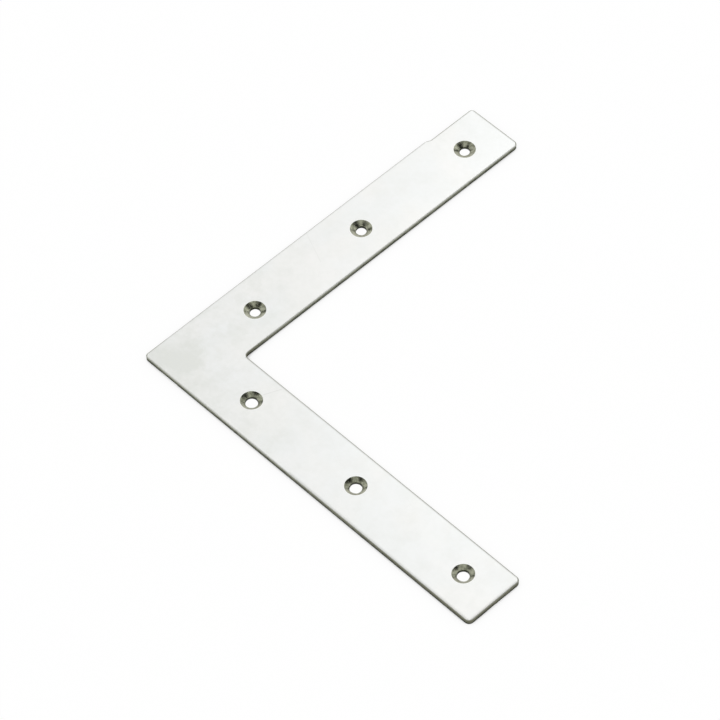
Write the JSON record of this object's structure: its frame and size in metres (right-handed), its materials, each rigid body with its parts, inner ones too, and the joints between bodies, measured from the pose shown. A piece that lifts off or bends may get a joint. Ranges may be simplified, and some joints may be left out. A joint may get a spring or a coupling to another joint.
{
  "type": "flat corner brace",
  "caption": "Flat L-shaped corner brace of bright plated sheet steel, with countersunk screw holes along both arms, for stiffening a right-angled joint.",
  "frame": {"origin": "on the back face, where the screw lines of the two arms cross", "axes": "+X along one arm and +Y along the other, from the corner to the arm ends; +Z out of the countersunk face"},
  "size_m": [0.1599, 0.1599, 0.002],
  "materials": {
    "bright_steel": "bright zinc-like plating, cloudy and finely scratched, over sheared edges and turned countersinks"
  },
  "bodies": {
    "root": {"corner_plate": "bright_steel"}
  },
  "joints": []
}
